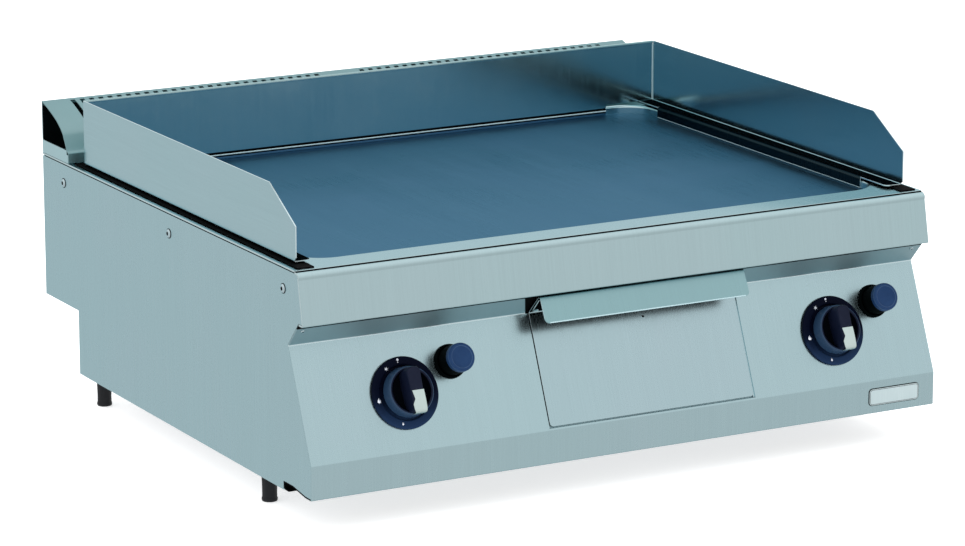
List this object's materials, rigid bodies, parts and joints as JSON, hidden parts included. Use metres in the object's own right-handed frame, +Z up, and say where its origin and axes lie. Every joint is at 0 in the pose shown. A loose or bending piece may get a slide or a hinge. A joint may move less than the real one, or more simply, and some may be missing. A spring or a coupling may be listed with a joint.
{
  "type": "flat top griddle",
  "caption": "Countertop gas griddle: flat recessed steel plate in a lift-off splash guard, sloping panel with turning knobs, push igniters, sliding grease drawer, slotted rear flue.",
  "frame": {"origin": "centre of the footprint box, on the surface that the feet stand on", "axes": "+X to the right along the width as seen from the front, +Y to the rear (the controls face -Y), +Z up"},
  "size_m": [0.8046, 0.723, 0.367],
  "materials": {
    "casing_steel": "satin brushed stainless",
    "guard_steel": "satin brushed stainless",
    "worktop_steel": "satin brushed stainless",
    "flue_steel": "satin brushed stainless",
    "drawer_steel": "satin brushed stainless",
    "griddle_steel": "smooth ground steel plate",
    "screw_steel": "bright zinc",
    "label_plate": "satin, blank",
    "inner_steel": "mill finish sheet",
    "burner_steel": "heat-dulled steel",
    "brass": "machined",
    "stem_steel": "machined",
    "knob_plastic": "satin black moulded",
    "bezel_plastic": "satin black moulded with white marks",
    "knob_insert": "satin silver",
    "igniter_plastic": "satin black moulded",
    "igniter_rubber": "smooth rubber cap",
    "ceramic": "glazed ceramic",
    "foot_plastic": "black moulded"
  },
  "bodies": {
    "casing": {"side_panel_left": "casing_steel", "side_panel_right": "casing_steel", "rear_panel": "casing_steel", "rear_recess_panel": "casing_steel", "base_pan": "casing_steel", "control_panel": "casing_steel", "worktop": "worktop_steel", "flue_base_frame": "flue_steel", "flue_hood": "flue_steel", "flue_back_plate": "flue_steel", "griddle_plate": "griddle_steel", "side_screw_left_rear": "screw_steel", "side_screw_left_mid": "screw_steel", "side_screw_left_front": "screw_steel", "side_screw_right_rear": "screw_steel", "side_screw_right_mid": "screw_steel", "side_screw_right_front": "screw_steel", "rating_plate": "label_plate", "flue_duct": "inner_steel", "combustion_box": "inner_steel", "burner_rail_front": "inner_steel", "burner_rail_rear": "inner_steel", "drawer_runner_left": "inner_steel", "drawer_runner_right": "inner_steel", "grease_chute": "inner_steel", "burner_left": "burner_steel", "burner_right": "burner_steel", "gas_manifold": "brass", "gas_inlet_pipe": "brass", "gas_valve_left": "brass", "gas_valve_right": "brass", "gas_feed_left": "brass", "gas_feed_right": "brass", "thermocouple_left": "brass", "thermocouple_right": "brass", "knob_bezel_left": "bezel_plastic", "knob_bezel_right": "bezel_plastic", "piezo_igniter_left": "igniter_plastic", "piezo_igniter_right": "igniter_plastic", "igniter_collar_left": "igniter_plastic", "igniter_collar_right": "igniter_plastic", "spark_electrode_left": "ceramic", "spark_electrode_right": "ceramic"},
    "knob_stem_left": {"valve_stem_left": "stem_steel"},
    "knob_stem_right": {"valve_stem_right": "stem_steel"},
    "knob_left": {"control_knob_left": "knob_plastic", "knob_insert_left": "knob_insert"},
    "knob_right": {"control_knob_right": "knob_plastic", "knob_insert_right": "knob_insert"},
    "button_left": {"igniter_button_left": "igniter_rubber"},
    "button_right": {"igniter_button_right": "igniter_rubber"},
    "grease_drawer": {"drawer_front": "drawer_steel", "drawer_tray": "inner_steel"},
    "splash_guard": {"splash_guard_left": "guard_steel", "splash_guard_right": "guard_steel", "splash_guard_rear": "guard_steel"},
    "leg_left_front": {"foot_left_front": "foot_plastic"},
    "leg_left_rear": {"foot_left_rear": "foot_plastic"},
    "leg_right_front": {"foot_right_front": "foot_plastic"},
    "leg_right_rear": {"foot_right_rear": "foot_plastic"}
  },
  "joints": [
    {"name": "left_knob_push", "type": "slide", "parent": "casing", "child": "knob_stem_left", "axis": [0, 0.922, -0.3871], "range_m": [0, 0.0038], "stiffness_N_per_m": 1500, "springref_m": -0.003},
    {"name": "left_knob_turn", "type": "hinge", "parent": "knob_stem_left", "child": "knob_left", "pos_m": [-0.275, -0.32992, 0.14338], "axis": [0, -0.922, 0.3871], "range_deg": [0, 160]},
    {"name": "left_igniter_press", "type": "slide", "parent": "casing", "child": "button_left", "axis": [0, 0.922, -0.3871], "range_m": [0, 0.0038], "stiffness_N_per_m": 1500, "springref_m": -0.002},
    {"name": "right_knob_push", "type": "slide", "parent": "casing", "child": "knob_stem_right", "axis": [0, 0.922, -0.3871], "range_m": [0, 0.0038], "stiffness_N_per_m": 1500, "springref_m": -0.003},
    {"name": "right_knob_turn", "type": "hinge", "parent": "knob_stem_right", "child": "knob_right", "pos_m": [0.275, -0.32992, 0.14338], "axis": [0, -0.922, 0.3871], "range_deg": [0, 160]},
    {"name": "right_igniter_press", "type": "slide", "parent": "casing", "child": "button_right", "axis": [0, 0.922, -0.3871], "range_m": [0, 0.0038], "stiffness_N_per_m": 1500, "springref_m": -0.002},
    {"name": "drawer_slide", "type": "slide", "parent": "casing", "child": "grease_drawer", "axis": [0, -1, 0], "range_m": [0, 0.36]},
    {"name": "guard_lift_off", "type": "slide", "parent": "casing", "child": "splash_guard", "axis": [0, 0, 1], "range_m": [0, 0.12]},
    {"name": "leg_left_front_level", "type": "slide", "parent": "casing", "child": "leg_left_front", "axis": [0, 0, -1], "range_m": [0, 0.02]},
    {"name": "leg_left_rear_level", "type": "slide", "parent": "casing", "child": "leg_left_rear", "axis": [0, 0, -1], "range_m": [0, 0.02]},
    {"name": "leg_right_front_level", "type": "slide", "parent": "casing", "child": "leg_right_front", "axis": [0, 0, -1], "range_m": [0, 0.02]},
    {"name": "leg_right_rear_level", "type": "slide", "parent": "casing", "child": "leg_right_rear", "axis": [0, 0, -1], "range_m": [0, 0.02]}
  ]
}
